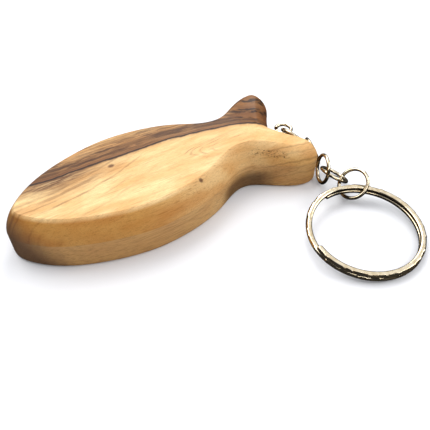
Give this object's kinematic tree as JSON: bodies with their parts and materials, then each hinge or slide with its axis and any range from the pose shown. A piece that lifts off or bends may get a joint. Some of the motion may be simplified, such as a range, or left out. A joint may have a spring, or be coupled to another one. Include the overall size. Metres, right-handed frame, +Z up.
{
  "type": "fish keychain",
  "caption": "Flat wooden fish fob with a screw eye in its tail notch, a short chain of jump rings and a split key ring.",
  "frame": {"origin": "centre of the fish's flat underside, on the surface that the fish lies on", "axes": "+X from the fish's nose towards its tail, +Y to the fish's far side, +Z up out of its flat top"},
  "size_m": [0.0864, 0.0671, 0.0129],
  "materials": {
    "olive_wood": "satin, sanded and oiled",
    "nickel_wire": "polished nickel plate, warm and slightly worn",
    "nickel_ring": "polished nickel plate with a hammered wave pattern"
  },
  "bodies": {
    "fob": {"fish_body": "olive_wood", "screw_eye": "nickel_wire"},
    "link_1": {"link_1": "nickel_wire"},
    "link_2": {"link_2": "nickel_wire"},
    "link_3": {"link_3": "nickel_wire"},
    "link_4": {"link_4": "nickel_wire"},
    "link_5": {"link_5": "nickel_wire"},
    "key_ring": {"split_ring": "nickel_ring"}
  },
  "joints": [
    {"name": "eye_to_link_1", "type": "hinge", "parent": "fob", "child": "link_1", "pos_m": [0.03595, -0.0017, 0.0067], "axis": [0.8504, -0.5262, 0], "range_deg": [-80, 14]},
    {"name": "link_1_to_link_2", "type": "hinge", "parent": "link_1", "child": "link_2", "pos_m": [0.0403, -0.00536, 0.00361], "axis": [0.3554, 0.6889, -0.6317], "range_deg": [-20, 1]},
    {"name": "link_2_to_link_3", "type": "hinge", "parent": "link_2", "child": "link_3", "pos_m": [0.03929, -0.01233, 0.00407], "axis": [0.3154, -0.1709, -0.9335], "range_deg": [-110, 5]},
    {"name": "link_3_to_link_4", "type": "hinge", "parent": "link_3", "child": "link_4", "pos_m": [0.0365, -0.01981, 0.00498], "axis": [0.2238, 0.1169, 0.9676], "range_deg": [-60, 6]},
    {"name": "link_4_to_link_5", "type": "hinge", "parent": "link_4", "child": "link_5", "pos_m": [0.03993, -0.02199, 0.00321], "axis": [0.8203, -0.1105, -0.5611], "range_deg": [-110, 50]},
    {"name": "link_5_to_ring", "type": "hinge", "parent": "link_5", "child": "key_ring", "pos_m": [0.0421, -0.02804, 0.00449], "axis": [0.6752, 0.3284, 0.6605], "range_deg": [-5, 60]}
  ]
}
